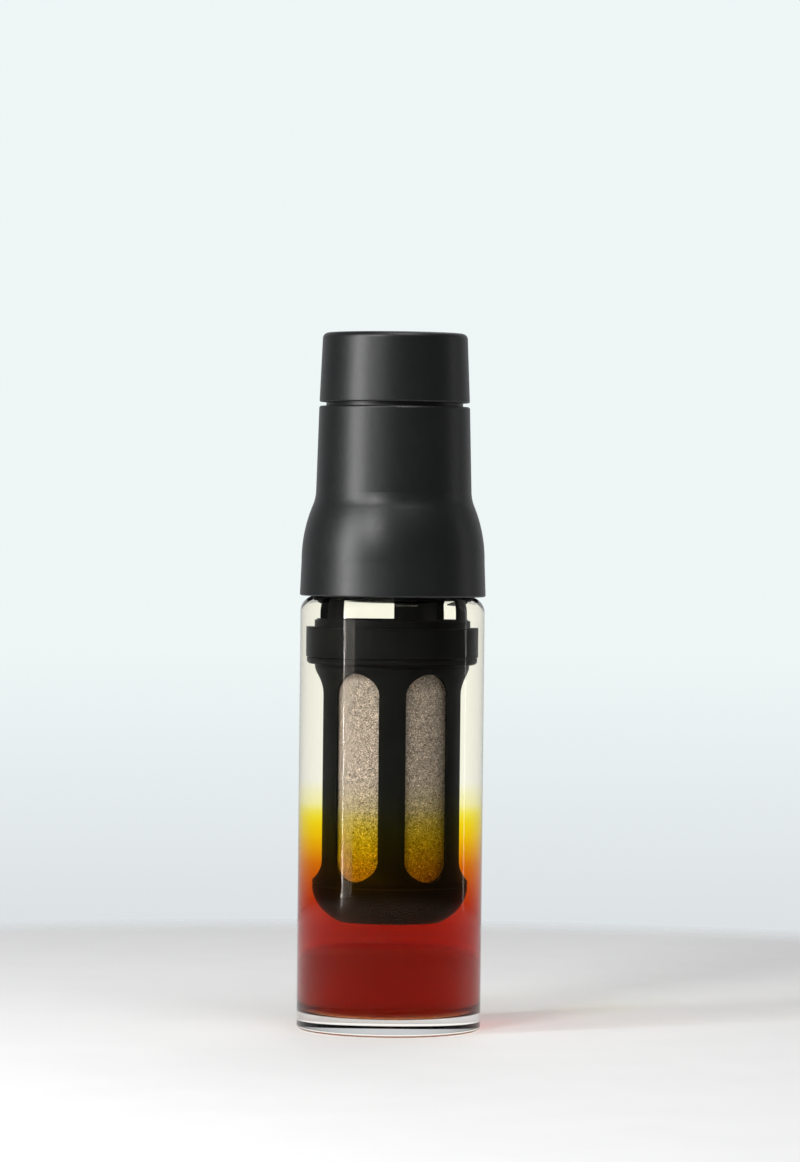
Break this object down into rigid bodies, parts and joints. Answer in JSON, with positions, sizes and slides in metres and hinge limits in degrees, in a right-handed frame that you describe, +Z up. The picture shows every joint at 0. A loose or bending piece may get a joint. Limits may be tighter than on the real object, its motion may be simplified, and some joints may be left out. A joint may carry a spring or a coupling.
{
  "type": "cold brew coffee maker",
  "caption": "Slim glass bottle with a flared black collar, a screw cap and a long mesh filter basket that hangs inside from the collar.",
  "frame": {"origin": "centre of the bottle's foot, on the surface it stands on", "axes": "+Z up along the bottle's axis, -Y towards the front, +X to the right"},
  "size_m": [0.0706, 0.0706, 0.2644],
  "materials": {
    "bottle_glass": "clear",
    "satin_black_plastic": "fine grained matte",
    "inner_black_plastic": "satin",
    "filter_black_plastic": "satin",
    "seal_rubber": "soft matte silicone",
    "mesh_steel": "fine woven mesh"
  },
  "bodies": {
    "bottle": {"glass_bottle": "bottle_glass"},
    "neck_seal": {"neck_gasket": "seal_rubber"},
    "collar": {"collar_shell": "satin_black_plastic", "collar_liner": "inner_black_plastic", "pour_spout": "inner_black_plastic", "filter_adapter": "filter_black_plastic", "adapter_ring": "filter_black_plastic", "adapter_seal": "seal_rubber"},
    "cap_seal": {"cap_gasket": "seal_rubber"},
    "cap": {"cap_shell": "satin_black_plastic", "cap_liner": "inner_black_plastic"},
    "basket_seal": {"basket_gasket": "seal_rubber"},
    "basket": {"basket_frame": "filter_black_plastic", "mesh_screen": "mesh_steel", "base_seal": "seal_rubber", "basket_base": "filter_black_plastic"}
  },
  "joints": [
    {"name": "collar_lift", "type": "slide", "parent": "bottle", "child": "neck_seal", "axis": [0, 0, 1], "range_m": [0, 0.0201]},
    {"name": "collar_turn", "type": "hinge", "parent": "neck_seal", "child": "collar", "pos_m": [0, 0, 0.18], "axis": [0, 0, 1], "range_deg": [0, 360]},
    {"name": "cap_lift", "type": "slide", "parent": "collar", "child": "cap_seal", "axis": [0, 0, 1], "range_m": [0, 0.0181]},
    {"name": "cap_turn", "type": "hinge", "parent": "cap_seal", "child": "cap", "pos_m": [0, 0, 0.25], "axis": [0, 0, 1], "range_deg": [0, 720]},
    {"name": "basket_drop", "type": "slide", "parent": "collar", "child": "basket_seal", "axis": [0, 0, 1], "range_m": [-0.0101, 0]},
    {"name": "basket_turn", "type": "hinge", "parent": "basket_seal", "child": "basket", "pos_m": [0, 0, 0.145], "axis": [0, 0, 1], "range_deg": [-360, 0]}
  ],
  "couplings": [
    {"joint": "collar_lift", "follows": "collar_turn", "m_per_rad": 0.0031831},
    {"joint": "cap_lift", "follows": "cap_turn", "m_per_rad": 0.0014324},
    {"joint": "basket_drop", "follows": "basket_turn", "m_per_rad": 0.0015915}
  ]
}
